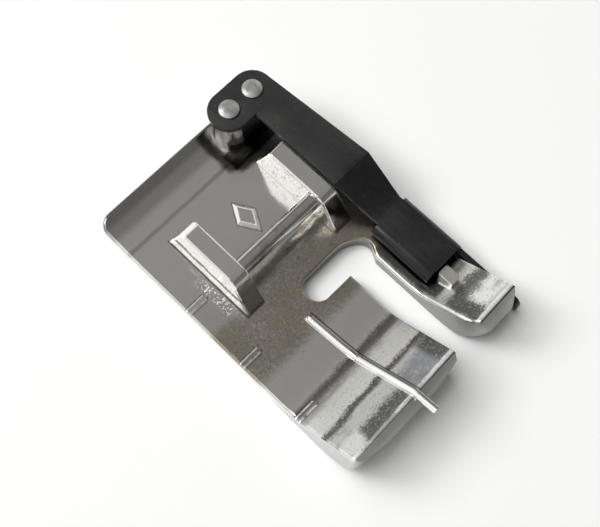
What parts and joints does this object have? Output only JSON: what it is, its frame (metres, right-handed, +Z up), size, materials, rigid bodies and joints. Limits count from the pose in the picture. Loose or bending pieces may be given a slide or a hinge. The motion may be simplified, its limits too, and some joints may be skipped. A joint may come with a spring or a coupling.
{
  "type": "sewing machine presser foot",
  "caption": "Clip-on presser foot for piecing: chromed sole with two toes, needle slot and ears with a cross pin, and a black spring edge guide riveted to its heel.",
  "frame": {"origin": "on the flat sole, straight below the middle of the snap pin", "axes": "+X to the sewer's right and along the snap pin, +Y to the rear of the machine, +Z up from the sole"},
  "size_m": [0.02, 0.0312, 0.0064],
  "materials": {
    "chrome_casting": "plated die casting, slightly uneven",
    "pin_steel": "polished",
    "black_spring_steel": "satin black oxide",
    "rivet_metal": "satin"
  },
  "bodies": {
    "foot": {"foot_base": "chrome_casting", "snap_pin": "pin_steel", "rivet_inner": "rivet_metal", "rivet_outer": "rivet_metal"},
    "guide": {"edge_guide": "black_spring_steel"}
  },
  "joints": [
    {"name": "guide_flex", "type": "hinge", "parent": "foot", "child": "guide", "pos_m": [0.0065, 0.0084, 0.00575], "axis": [-1, 0, 0], "range_deg": [0, 3.5], "stiffness_Nm_per_rad": 1.2, "deforming": ["edge_guide"]}
  ]
}
